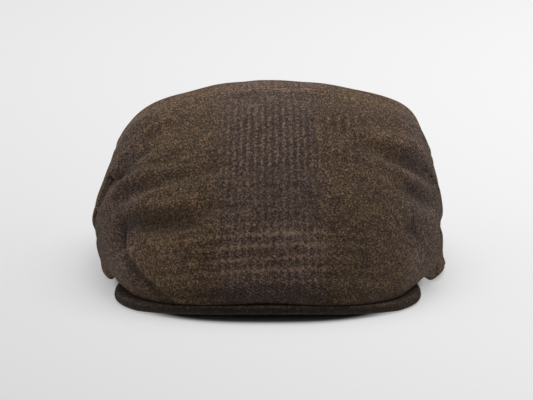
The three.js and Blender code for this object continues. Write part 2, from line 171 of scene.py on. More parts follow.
# ------------------------------------------------------------------ the cap's surface
def curve(rows, key, at):
    x = np.array([r[0] for r in rows], float)
    y = np.array([r[key] for r in rows], float)
    h = np.diff(x)
    d = np.diff(y) / h
    m = np.zeros_like(y)
    a, b, h0, h1 = d[:-1], d[1:], h[:-1], h[1:]
    w1, w2 = 2 * h1 + h0, h1 + 2 * h0
    ok = a * b > 0
    m[1:-1][ok] = (w1 + w2)[ok] / (w1[ok] / a[ok] + w2[ok] / b[ok])
    q = np.clip(at, x[0], x[-1])
    i = np.clip(np.searchsorted(x, q, side="right") - 1, 0, len(x) - 2)
    w = x[i + 1] - x[i]
    u = (q - x[i]) / w
    return (
        (1 + 2 * u) * (1 - u) ** 2 * y[i]
        + u * (1 - u) ** 2 * w * m[i]
        + u * u * (3 - 2 * u) * y[i + 1]
        + u * u * (u - 1) * w * m[i + 1]
    )


def peak_below(x):
    return PEAK_ARCH * np.maximum(0, 1 - (x / PEAK_ARCH_HALF) ** 2)


def section(angle):
    s, c = np.sin(angle), np.cos(angle)
    rs, zs = [np.zeros_like(s)], [np.full_like(s, CREST_HEIGHT)]
    for _, zF, zL, zR, zB, F, B, HL, HR, nF, nB in LEVELS:
        half = np.where(s < 0, HL, HR)
        long = np.where(c >= 0, F, B)
        n = np.where(c >= 0, nF, nB)
        side = (zL + zR) / 2 + (zR - zL) / 2 * s
        rs.append((np.abs(s / half) ** n + np.abs(c / long) ** n) ** (-1 / n))
        zs.append(side + (zF - side) * np.maximum(0, c) ** 2 + (zB - side) * np.maximum(0, -c) ** 2)
    deg = np.abs(np.degrees(np.arctan2(s, c)))
    w = 0.5 + 0.5 * np.clip(s * 6, -1, 1)
    r = curve(EDGE, 1, deg) * (1 - w) + curve(EDGE, 2, deg) * w
    u = np.clip((deg - LIFT_FROM) / (LIFT_TO - LIFT_FROM), 0, 1)
    rs.append(r)
    zs.append((peak_below((r - CLOTH) * s) + PEAK_THICK + PEAK_CLEAR) * (1 - u * u * (3 - 2 * u)))
    return np.stack(rs), np.stack(zs)


def smooth_points(angle, level):
    angle, level = np.broadcast_arrays(np.asarray(angle, float), np.asarray(level, float))
    shape = angle.shape
    angle, level = angle.ravel(), level.ravel()
    R, Z = section(angle)
    n = len(R) - 1
    k = np.clip(np.floor(level).astype(int), 0, n - 1)
    u = level - k
    MR = np.empty_like(R)
    MR[1:-1] = (R[2:] - R[:-2]) / 2
    MR[0], MR[-1] = R[1], (R[-1] - R[-2]) * 1.3
    MZ = np.empty_like(Z)
    MZ[1:-1] = (Z[2:] - Z[:-2]) / 2
    MZ[0], MZ[-1] = 0, Z[-1] - Z[-2]

    def mix(A, M):
        pick = lambda B, j: np.take_along_axis(B, j[None], 0)[0]
        return (
            (1 + 2 * u) * (1 - u) ** 2 * pick(A, k)
            + u * (1 - u) ** 2 * pick(M, k)
            + u * u * (3 - 2 * u) * pick(A, k + 1)
            + u * u * (u - 1) * pick(M, k + 1)
        )

    r, z = mix(R, MR), mix(Z, MZ)
    return np.stack([r * np.sin(angle), CREST_Y - r * np.cos(angle), z], -1).reshape(shape + (3,))


def unit(v):
    return v / np.maximum(np.linalg.norm(v, axis=-1, keepdims=True), 1e-12)


def outward(angle, level):
    angle, level = np.broadcast_arrays(np.asarray(angle, float), np.asarray(level, float))
    t = np.clip(level, 0.04, 4.97)
    across = smooth_points(angle + 1e-3, t) - smooth_points(angle - 1e-3, t)
    down = smooth_points(angle, t + 0.02) - smooth_points(angle, t - 0.02)
    n = unit(np.cross(down, across))
    flat = np.clip((level - 4.3) / 0.7, 0, 1)
    n[..., 2] *= 1 - flat * flat * (3 - 2 * flat)
    n = unit(n)
    n[level < 0.02] = (0, 0, 1)
    return n


def fold_rise(p, level, rows, steps=12):
    total = np.zeros(p.shape[:-1])
    for _, a0, l0, a1, l1, width, rise in rows:
        s = np.linspace(0, 1, steps + 1)
        line = smooth_points(np.radians(a0 + (a1 - a0) * s), l0 + (l1 - l0) * s)
        near = np.linalg.norm(p - line.mean(0), axis=-1) < np.linalg.norm(line - line.mean(0), axis=-1).max() + 3.2 * width
        q = p[near]
        best = np.full(len(q), 1e9)
        at = np.zeros(len(q))
        for i in range(steps):
            e = line[i + 1] - line[i]
            u = np.clip(((q - line[i]) @ e) / (e @ e), 0, 1)
            d = np.linalg.norm(q - line[i] - u[:, None] * e, axis=-1)
            hit = d < best
            best = np.where(hit, d, best)
            at = np.where(hit, (i + u) / steps, at)
        total[near] += rise * np.exp(-((best / width) ** 2)) * (0.4 + 0.6 * np.sqrt(np.sin(np.pi * np.clip(at, 0, 1))))
    return total * np.clip((5 - level) / 0.12, 0, 1)


rng = np.random.default_rng(41)
WAVES = [(unit(rng.normal(size=3)), 2 * np.pi / rng.uniform(14, 42), rng.uniform(0, 2 * np.pi), rng.uniform(0.05, 0.13)) for _ in range(26)]


def undulation(p):
    """Faint unevenness of steamed wool, mm."""
    return sum(a * np.sin(p @ d * k + ph) for d, k, ph, a in WAVES)


def ease(x):
    x = np.clip(x, 0, 1)
    return x * x * (3 - 2 * x)


def column_angle(column, level):
    """Angle at one level of a column (degrees) of the cloth: columns lean so that one follows each front seam"""
    column, level = np.broadcast_arrays(np.asarray(column, float), np.asarray(level, float))
    away = np.abs(column)
    lean = np.where(column < 0, curve(FRONT_SEAM, 1, level), curve(FRONT_SEAM, 2, level)) - SIDE_COLUMN
    share = ease((away - LEAN_FROM) / (SIDE_COLUMN - LEAN_FROM)) * ease((LEAN_TO - away) / (LEAN_TO - SIDE_COLUMN))
    return np.radians(column + np.sign(column) * lean * share)


def seam_level(column):
    column = np.asarray(column, float)
    deg = np.abs(column)
    h = np.where(column < 0, curve(SEAM, 1, deg), curve(SEAM, 2, deg))
    lo, hi = np.full(column.shape, 1.2), np.full(column.shape, 5.0)
    for _ in range(36):
        mid = (lo + hi) / 2
        up = smooth_points(column_angle(column, mid), mid)[..., 2] > h
        lo, hi = np.where(up, mid, lo), np.where(up, hi, mid)
    return (lo + hi) / 2


# ------------------------------------------------------------------ cloth coordinates of the top panel
# The check runs straight along the middle from front to back; v is measured over the crest along the
# middle line (+ to the front) and u across, both along the cloth, in mm.
FAN_Z = -40.0


def build_grain():
    phi = np.radians(np.linspace(12, 176, 150))
    psi = np.radians(np.linspace(-72, 72, 181))
    PH, PS = np.meshgrid(phi, psi, indexing="ij")
    d = np.stack([np.sin(PS), -np.cos(PS) * np.cos(PH), np.cos(PS) * np.sin(PH)], -1)
    c = np.array([0.0, CREST_Y, FAN_Z])
    # the surface point seen from c in each direction, found by bisection on distance
    angle_of = lambda q: np.arctan2(q[..., 0], -(q[..., 1] - CREST_Y))
    lo, hi = np.full(PH.shape, 20.0), np.full(PH.shape, 260.0)
    levels = np.linspace(0, 5, 61)
    angles = np.radians(np.linspace(-180, 180, 361))
    P = smooth_points(angles[:, None], levels[None, :])
    R = np.hypot(P[..., 0], P[..., 1] - CREST_Y)
    Z = P[..., 2]
    # height of the surface as a function of (angle, radius) up to the widest level
    grid_r = np.linspace(0, 140, 281)
    H = np.empty((len(angles), len(grid_r)))
    for i in range(len(angles)):
        k = int(np.argmax(R[i]))
        H[i] = np.interp(grid_r, R[i, : k + 1], Z[i, : k + 1])
        beyond = grid_r > R[i, k]
        H[i][beyond] = Z[i, k] - (grid_r[beyond] - R[i, k]) * 6
    for _ in range(40):
        mid = (lo + hi) / 2
        q = c + d * mid[..., None]
        a, r = angle_of(q), np.hypot(q[..., 0], q[..., 1] - CREST_Y)
        fa = (a + np.pi) / (2 * np.pi) * (len(angles) - 1)
        ia = np.clip(np.floor(fa).astype(int), 0, len(angles) - 2)
        wa = fa - ia
        fr = np.clip(r / 140, 0, 0.99999) * (len(grid_r) - 1)
        ir = np.floor(fr).astype(int)
        wr = fr - ir
        h = (H[ia, ir] * (1 - wa) + H[ia + 1, ir] * wa) * (1 - wr) + (H[ia, ir + 1] * (1 - wa) + H[ia + 1, ir + 1] * wa) * wr
        below = q[..., 2] < h
        lo, hi = np.where(below, mid, lo), np.where(below, hi, mid)
    Q = c + d * ((lo + hi) / 2)[..., None]
    step = np.linalg.norm(np.diff(Q, axis=1), axis=-1)
    U = np.concatenate([np.zeros((len(phi), 1)), np.cumsum(step, 1)], 1)
    U -= U[:, [len(psi) // 2]]
    mid = Q[:, len(psi) // 2]
    v = np.concatenate([[0], np.cumsum(np.linalg.norm(np.diff(mid, axis=0), axis=-1))])
    v = np.interp(np.pi / 2, phi, v) - v
    return phi, psi, U, v


GRAIN = build_grain()


def grain_of(p):
    phi, psi, U, v = GRAIN
    q = p - np.array([0.0, CREST_Y, FAN_Z])
    ph = np.arctan2(q[..., 2], -q[..., 1])
    ps = np.arcsin(np.clip(q[..., 0] / np.linalg.norm(q, axis=-1), -1, 1))
    fi = np.clip((ph - phi[0]) / (phi[-1] - phi[0]), 0, 0.99999) * (len(phi) - 1)
    fj = np.clip((ps - psi[0]) / (psi[-1] - psi[0]), 0, 0.99999) * (len(psi) - 1)
    i, j = np.floor(fi).astype(int), np.floor(fj).astype(int)
    a, b = fi - i, fj - j
    u = (U[i, j] * (1 - a) + U[i + 1, j] * a) * (1 - b) + (U[i, j + 1] * (1 - a) + U[i + 1, j + 1] * a) * b
    w = v[i] * (1 - a) + v[i + 1] * a
    return u * (1 - 0.10 * np.clip((w - 60) / 120, 0, 1)), w


# ------------------------------------------------------------------ meshes
def make_mixed(name, points, quads, tris, uv, edge, relief):
    """points and relief in mm; uv in mm, stored in units of 100 mm; edge is the distance from a seam or hem, mm"""
    me = bpy.data.meshes.new(name)
    pts = ((points - CENTRE) / 1000).astype(np.float32)
    me.vertices.add(len(pts))
    me.vertices.foreach_set("co", pts.ravel())
    loops = np.concatenate([quads.ravel(), tris.ravel()]).astype(np.int32)
    me.loops.add(len(loops))
    me.loops.foreach_set("vertex_index", loops)
    starts = np.concatenate([np.arange(len(quads)) * 4, len(quads) * 4 + np.arange(len(tris)) * 3]).astype(np.int32)
    me.polygons.add(len(starts))
    me.polygons.foreach_set("loop_start", starts)
    me.update(calc_edges=True)
    me.validate()
    layer = me.uv_layers.new(name="Cloth")
    index = np.empty(len(me.loops), np.int32)
    me.loops.foreach_get("vertex_index", index)
    layer.data.foreach_set("uv", (uv[index] / 100).astype(np.float32).ravel())
    for label, values in (("seam_distance", edge), ("relief", relief)):
        attribute = me.attributes.new(label, "FLOAT", "POINT")
        attribute.data.foreach_set("value", values.astype(np.float32))
    me.polygons.foreach_set("use_smooth", np.ones(len(me.polygons), bool))
    ob = bpy.data.objects.new(name, me)
    bpy.context.scene.collection.objects.link(ob)
    return ob


def edge_round(d, half):
    """Half thickness at a distance from an edge, so that the edge is a half round"""
    return half * np.sqrt(np.clip(1 - (1 - np.clip(d / half, 0, 1)) ** 2, 0, 1))


def local_scale(angle, level):
    t = np.clip(level, 0.1, 4.9)
    return np.linalg.norm(smooth_points(angle, t + 0.1) - smooth_points(angle, t - 0.1), axis=-1) / 0.2


def surface(angle, level):
    p = smooth_points(angle, level)
    n = outward(angle, level)
    quiet = np.clip((5 - level) / 0.3, 0, 1)
    coarse, fine = fold_rise(p, level, FOLDS), fold_rise(p, level, CREASES)
    rise = coarse + fine + undulation(p) * quiet
    # the relief returned here only paints shade and light into the cloth's colour
    return p + n * (rise - CLOTH / 2)[..., None], n, 0.5 * coarse + 1.4 * fine


FRONT_GROOVE = 1.2  # depth of the cloth drawn in along the front seams, mm
EDGE_RADIUS = 0.75


def seam_shape(d_side, d_top, side_ridge):
    """How far the cloth is drawn in or raised beside the seams"""
    draw = -FRONT_GROOVE * np.exp(-((d_side / 1.9) ** 2)) - 0.25 * np.exp(-((d_top / 1.6) ** 2))
    ridge = side_ridge * np.exp(-(((d_side - 3.4) / 2.0) ** 2)) + 0.35 * np.exp(-(((d_top - 3.0) / 1.7) ** 2))
    return draw + ridge


def two_faces(column, level, d_side, d_top, d_hem, d_back, side_ridge):
    """Outer and inner points of the cloth and its relief, given the distances to its borders in mm"""
    mid, n, relief = surface(column_angle(column, level), level)
    fade = np.clip(d_hem / 3, 0, 1)
    back_ridge = 0.3 * np.exp(-(((d_back - 3.0) / 1.6) ** 2))
    mid = mid + n * ((seam_shape(d_side, d_top, side_ridge) + back_ridge) * fade)[..., None]
    half = edge_round(np.minimum(np.minimum(d_side, d_top), d_back), EDGE_RADIUS) * edge_round(d_hem, CLOTH / 2) / EDGE_RADIUS
    # the hem is turned up inside, so the cloth is thicker over its lowest 9 mm
    near = np.minimum(np.minimum(d_side, d_top), np.minimum(d_hem, d_back))
    hem = 0.4 / (1 + np.exp(np.clip((d_hem - 8.5) / 0.6, -40, 40))) * np.clip(near / 1.2, 0, 1)
    return mid + n * (half + hem * 0.5)[..., None], mid - n * (half + hem)[..., None], relief


def close_sheet(name, outer, inner, quads, tris, border, uv, d, relief):
    """quads and tris index the flat grid; `border` marks its border points"""
    flat_o, flat_i = outer.reshape(-1, 3), inner.reshape(-1, 3)
    used = np.zeros(len(flat_o), bool)
    used[quads.ravel()] = True
    if len(tris):
        used[tris.ravel()] = True
    new_o = np.full(len(flat_o), -1)
    new_o[used] = np.arange(used.sum())
    inside = used & ~border
    new_i = new_o.copy()
    new_i[inside] = used.sum() + np.arange(inside.sum())
    mid = (flat_o + flat_i) / 2
    po = np.where(border[:, None], mid, flat_o)[used]
    points = np.concatenate([po, flat_i[inside]])
    uv = np.concatenate([uv.reshape(-1, 2)[used], uv.reshape(-1, 2)[inside]])
    d = np.concatenate([d.ravel()[used], d.ravel()[inside]])
    relief = np.concatenate([relief.ravel()[used], relief.ravel()[inside] * 0])
    q = np.concatenate([new_o[quads], new_i[quads][:, ::-1]])
    t = np.concatenate([new_o[tris], new_i[tris][:, ::-1]]) if len(tris) else np.zeros((0, 3), int)
    return make_mixed(name, points, q, t, uv, d, relief)


def border_of(count, quads, tris):
    edges = [quads[:, [k, (k + 1) % 4]] for k in range(4)]
    if len(tris):
        edges += [tris[:, [k, (k + 1) % 3]] for k in range(3)]
    e = np.concatenate(edges)
    key = np.minimum(e[:, 0], e[:, 1]).astype(np.int64) * count + np.maximum(e[:, 0], e[:, 1])
    _, first, times = np.unique(key, return_index=True, return_counts=True)
    border = np.zeros(count, bool)
    border[e[first[times == 1]].ravel()] = True
    return border


def path_length(points, axis):
    step = np.linalg.norm(np.diff(points, axis=axis), axis=-1)
    zero = np.zeros_like(np.take(step, [0], axis))
    return np.concatenate([zero, np.cumsum(step, axis)], axis)


def graded(a, b, n, near, power=1.7, share=0.8):
    """a..b in n steps, closer together towards b over a last part `near` of the way"""
    far = int(n * share)
    one = np.linspace(0, 1 - near, far + 1)[:-1]
    two = 1 - near * (1 - np.linspace(0, 1, n - far + 1)) ** power
    return a + (b - a) * np.concatenate([one, two])


GAP_COLUMN = math.degrees(SEAM_GAP / 2 / 92)


def top_cloth():
    edge = SIDE_COLUMN - GAP_COLUMN
    right = graded(0, edge, 112, 0.07)
    back = SIDE_COLUMN + (180 - SIDE_COLUMN) * (1 - graded(0, 1, 86, 0.06)[::-1])
    column = np.concatenate([-back[1:][::-1], -right[1:][::-1], right, back[1:-1]])
    top_level = seam_level(column)
    scale = local_scale(column_angle(column, top_level), top_level)
    end = top_level - SEAM_GAP / 2 / scale
    rings = graded(0, 1, 80, 0.06)[1:]
    skirt = graded(0, 1, 38, 0.12, share=0.7)[1:]
    level = np.concatenate([end[:, None] * rings, end[:, None] + (5 - end[:, None]) * skirt], 1)
    cols, rows = level.shape
    nr = len(rings)
    C = np.broadcast_to(column[:, None], level.shape)
    P = smooth_points(column_angle(C, level), level)
    front = np.abs(column) < SIDE_COLUMN
    # distances along the cloth to its borders
    run = path_length(P, 1)
    far = 1e3
    d_top = np.where(front[:, None], far, run[:, nr - 1 : nr] - run)
    d_hem = np.where(front[:, None], run[:, -1:] - run, far)
    # to the front seams: across the columns, beyond the seam's upper end straight to that end
    d_side = np.full(level.shape, far)
    for sign in (-1, 1):
        k = int(np.argmin(np.abs(column - sign * edge)))
        line = P[k, nr - 1 :]
        part = np.where(column * sign > 20)[0]
        part = part[np.abs(column[part]) < 110]
        best = np.full((len(part), rows), far)
        for j in range(0, len(line) - 1):
            e = line[j + 1] - line[j]
            u = np.clip(((P[part] - line[j]) @ e) / (e @ e), 0, 1)
            best = np.minimum(best, np.linalg.norm(P[part] - line[j] - u[..., None] * e, axis=-1))
        d_side[part] = np.minimum(d_side[part], best)
    outer, inner, relief = two_faces(C, level, d_side, d_top, d_hem, np.full(level.shape, far), np.where(C < 0, -0.2, 0.8))
    k = np.arange(cols)
    n1 = (k + 1) % cols
    grid = np.arange(cols * rows).reshape(cols, rows)
    ring_q = np.stack([grid[k][:, : nr - 1], grid[k][:, 1:nr], grid[n1][:, 1:nr], grid[n1][:, : nr - 1]], -1).reshape(-1, 4)
    f = np.where(front & front[n1])[0]
    skirt_q = np.stack([grid[f][:, nr - 1 : -1], grid[f][:, nr:], grid[f + 1][:, nr:], grid[f + 1][:, nr - 1 : -1]], -1).reshape(-1, 4)
    quads = np.concatenate([ring_q, skirt_q])
    crest = smooth_points(np.zeros(1), np.zeros(1))[0]
    rise = fold_rise(crest[None], np.zeros(1), FOLDS)[0] + undulation(crest)
    c = cols * rows
    tris = np.stack([np.full(cols, c), grid[k, 0], grid[n1, 0]], -1)
    up = np.array([0, 0, 1.0])
    outer = np.concatenate([outer.reshape(-1, 3), [crest + up * rise]])
    inner = np.concatenate([inner.reshape(-1, 3), [crest + up * (rise - CLOTH)]])
    d = np.concatenate([np.minimum(np.minimum(d_side, d_top), d_hem).ravel(), [60.0]])
    uu, vv = grain_of(np.concatenate([P.reshape(-1, 3), [crest]]))
    border = border_of(c + 1, quads, tris)
    return close_sheet("top_cloth", outer, inner, quads, tris, border, np.stack([uu, vv], -1), d, np.append(relief.ravel(), 0.0))


def side_cloth(name, sign):
    back_gap = math.degrees(SEAM_GAP / 2 / 105)
    start, stop = SIDE_COLUMN + GAP_COLUMN, 180 - back_gap
    half = (stop - start) / 2
    a = start + half * (1 - graded(0, 1, 90, 0.10)[::-1])
    b = start + half + half * graded(0, 1, 80, 0.08)
    column = sign * np.concatenate([a, b[1:]])
    if sign < 0:
        column = column[::-1]
    top_level = seam_level(column)
    scale = local_scale(column_angle(column, top_level), top_level)
    begin = top_level + SEAM_GAP / 2 / scale
    r = np.concatenate([0.5 * (1 - graded(0, 1, 34, 0.16, share=0.6)[::-1]), 0.5 + 0.5 * graded(0, 1, 38, 0.30, share=0.6)[1:]])
    level = begin[:, None] + (5 - begin[:, None]) * r
    cols, rows = level.shape
    C = np.broadcast_to(column[:, None], level.shape)
    P = smooth_points(column_angle(C, level), level)
    down = path_length(P, 1)
    across = path_length(P, 0)
    total = across[-1:]
    d_top, d_hem = down, down[:, -1:] - down
    d_back = across if sign < 0 else total - across
    d_side = total - across if sign < 0 else across
    outer, inner, relief = two_faces(C, level, d_side, d_top, d_hem, d_back, 1.3 if sign < 0 else 1.1)
    d = np.minimum(np.minimum(d_side, d_top), np.minimum(d_hem, d_back))
    grid = np.arange(cols * rows).reshape(cols, rows)
    quads = np.stack([grid[:-1, :-1], grid[:-1, 1:], grid[1:, 1:], grid[1:, :-1]], -1).reshape(-1, 4)
    border = border_of(cols * rows, quads, np.zeros((0, 3), int))
    # this panel's check runs along its own hem
    uv = np.stack([np.broadcast_to((d_back[:, -1:]) * sign, level.shape), d_hem], -1)
    return close_sheet(name, outer, inner, quads, np.zeros((0, 3), int), border, uv, d, relief)


def reach(outline, angle):
    lo, hi = np.zeros_like(angle), np.full_like(angle, 200.0)
    for _ in range(50):
        mid = (lo + hi) / 2
        x = mid * np.sin(angle)
        y = PEAK_FAN_Y - mid * np.cos(angle) - outline["y"]
        long = np.where(y < 0, outline["front"], outline["back"])
        inside = np.abs(x / outline["half"]) ** outline["square"] + np.abs(y / long) ** outline["square"] < 1
        lo, hi = np.where(inside, mid, lo), np.where(inside, hi, mid)
    return lo


def peak_cloth():
    columns, rows = 360, 74
    s = np.linspace(-1, 1, columns)
    # closer together at the two ends, so that the ends are round
    angle = np.radians(PEAK_FAN) * np.sin(s * np.pi / 2) ** 1 * 1.0
    w = (1 - np.cos(np.linspace(0, np.pi, rows))) / 2
    w = 0.35 * np.linspace(0, 1, rows) + 0.65 * w
    root, out = reach(PEAK_ROOT, angle), reach(PEAK_OUTER, angle)
    width = (out - root)[:, None]
    r = root[:, None] + width * w
    x, y = r * np.sin(angle)[:, None], PEAK_FAN_Y - r * np.cos(angle)[:, None]
    d_root, d_out = width * w, width * (1 - w)
    d_end = (np.radians(PEAK_FAN) - np.abs(angle))[:, None] * r
    full = PEAK_THICK / 2
    half = edge_round(d_root, full) * edge_round(d_out, full) * edge_round(d_end, full) / full**2
    # the cloth is drawn over the board: flat on top
    full_edge = 0.25 * np.exp(-(((d_out - 4) / 2.2) ** 2))
    p = np.stack([x, y, 0 * x], -1)
    wave = undulation(p) * 0.25 * np.clip(d_out / 3, 0, 1)
    base = peak_below(x) + full
    zt = base + half + np.minimum(full_edge * np.clip(half / full, 0, 1), 0.0) + np.minimum(wave, 0) * 0.5
    zb = np.maximum(base - half, 0)
    upper = np.stack([x, y, zt], -1)
    lower = np.stack([x, y, zb], -1)
    cols, nr = x.shape
    o = np.arange(cols * nr).reshape(cols, nr)
    inside = np.zeros((cols, nr), bool)
    inside[1:-1, 1:-1] = True
    i = o.copy()
    i[inside] = cols * nr + np.arange(inside.sum())
    # the four corner cells are split from their corner inwards
    keep = np.ones((cols - 1, nr - 1), bool)
    keep[[0, 0, -1, -1], [0, -1, 0, -1]] = False
    quads = [
        np.stack([o[:-1, :-1], o[:-1, 1:], o[1:, 1:], o[1:, :-1]], -1)[keep],
        np.stack([i[:-1, :-1], i[1:, :-1], i[1:, 1:], i[:-1, 1:]], -1)[keep],
    ]
    tris = []
    for cx, cy, along in ((0, 0, True), (0, nr - 2, False), (cols - 2, 0, False), (cols - 2, nr - 2, True)):
        for grid, turn in ((o, 1), (i, -1)):
            a, b, c, d = grid[cx, cy], grid[cx, cy + 1], grid[cx + 1, cy + 1], grid[cx + 1, cy]
            pair = [(a, b, c), (a, c, d)] if along else [(a, b, d), (b, c, d)]
            tris += [t[::turn] for t in pair]
    tris = np.array(tris)
    points = np.concatenate([upper.reshape(-1, 3), lower[inside]])
    # v follows the cloth round the edge
    step = np.linalg.norm(np.diff(upper, axis=1), axis=-1)
    run = np.concatenate([np.zeros((cols, 1)), np.cumsum(step, 1)], 1)
    v = run + (root[:, None] * np.cos(angle)[:, None])
    uv_top = np.stack([x, v + 6], -1)
    uv_low = np.stack([x, 2 * (v[:, -1:]) - v + 6], -1)
    uv = np.concatenate([uv_top.reshape(-1, 2), uv_low[inside]])
    dist = np.minimum(np.minimum(d_root, d_out), d_end)
    dist = np.concatenate([dist.ravel(), dist[inside]])
    return make_mixed("peak_cloth", points, np.concatenate(quads), tris, uv, dist, np.zeros(len(points)))


# ------------------------------------------------------------------ wool material
class Nodes:
    def __init__(self, tree):
        self.t = tree

    def new(self, kind, **inputs):
        n = self.t.nodes.new(kind)
        for k, v in inputs.items():
            self.set(n.inputs[k.replace("_", " ")] if k.replace("_", " ") in n.inputs else n.inputs[int(k[1:])], v)
        return n

    def set(self, socket, v):
        if isinstance(v, bpy.types.NodeSocket):
            self.t.links.new(v, socket)
        else:
            socket.default_value = v

    def math(self, op, a, b=None, c=None, clamp=False):
        n = self.t.nodes.new("ShaderNodeMath")
        n.operation = op
        n.use_clamp = clamp
        for i, v in enumerate((a, b, c)):
            if v is not None:
                self.set(n.inputs[i], v)
        return n.outputs[0]

    def ramp(self, x, lo, hi, a=0.0, b=1.0):
        n = self.t.nodes.new("ShaderNodeMapRange")
        n.interpolation_type = "SMOOTHSTEP"
        for k, v in (("Value", x), ("From Min", lo), ("From Max", hi), ("To Min", a), ("To Max", b)):
            self.set(n.inputs[k], v)
        return n.outputs["Result"]

    def linear(self, x, lo, hi, a, b):
        n = self.t.nodes.new("ShaderNodeMapRange")
        for k, v in (("Value", x), ("From Min", lo), ("From Max", hi), ("To Min", a), ("To Max", b)):
            self.set(n.inputs[k], v)
        return n.outputs["Result"]

    def noise(self, vector, scale, detail=2.0, rough=0.5):
        n = self.t.nodes.new("ShaderNodeTexNoise")
        n.noise_dimensions = "3D"
        self.set(n.inputs["Vector"], vector)
        self.set(n.inputs["Scale"], scale)
        self.set(n.inputs["Detail"], detail)
        self.set(n.inputs["Roughness"], rough)
        return n.outputs["Fac"]

    def combine(self, x, y, z=0.0):
        n = self.t.nodes.new("ShaderNodeCombineXYZ")
        for i, v in enumerate((x, y, z)):
            self.set(n.inputs[i], v)
        return n.outputs[0]

    def mix(self, fac, a, b):
        n = self.t.nodes.new("ShaderNodeMix")
        n.data_type = "RGBA"
        self.set(n.inputs[0], fac)
        self.set(n.inputs[6], a)
        self.set(n.inputs[7], b)
        return n.outputs[2]

    def scale_color(self, color, factor):
        n = self.t.nodes.new("ShaderNodeVectorMath")
        n.operation = "SCALE"
        self.set(n.inputs[0], color)
        self.set(n.inputs["Scale"], factor)
        return n.outputs[0]


def srgb(r, g, b):
    f = lambda c: (c / 255 / 12.92) if c <= 10 else ((c / 255 + 0.055) / 1.055) ** 2.4
    return (f(r), f(g), f(b), 1.0)


PLUM = srgb(65, 51, 49)
OLIVE = srgb(58, 44, 29)
RUST = srgb(72, 45, 31)
ROSE = srgb(140, 104, 96)
STRAW = srgb(168, 148, 92)
ASH = srgb(150, 127, 120)
TAN = srgb(168, 133, 106)
SAND = srgb(164, 138, 90)
DARK = srgb(24, 18, 18)
STRIPE = 3.6  # mm from one light stripe to the next in the plum columns
LINE = 6.3  # mm from one light line across to the next
REPEAT_U, REPEAT_V = 97.0, 150.0  # one repeat of the check, mm


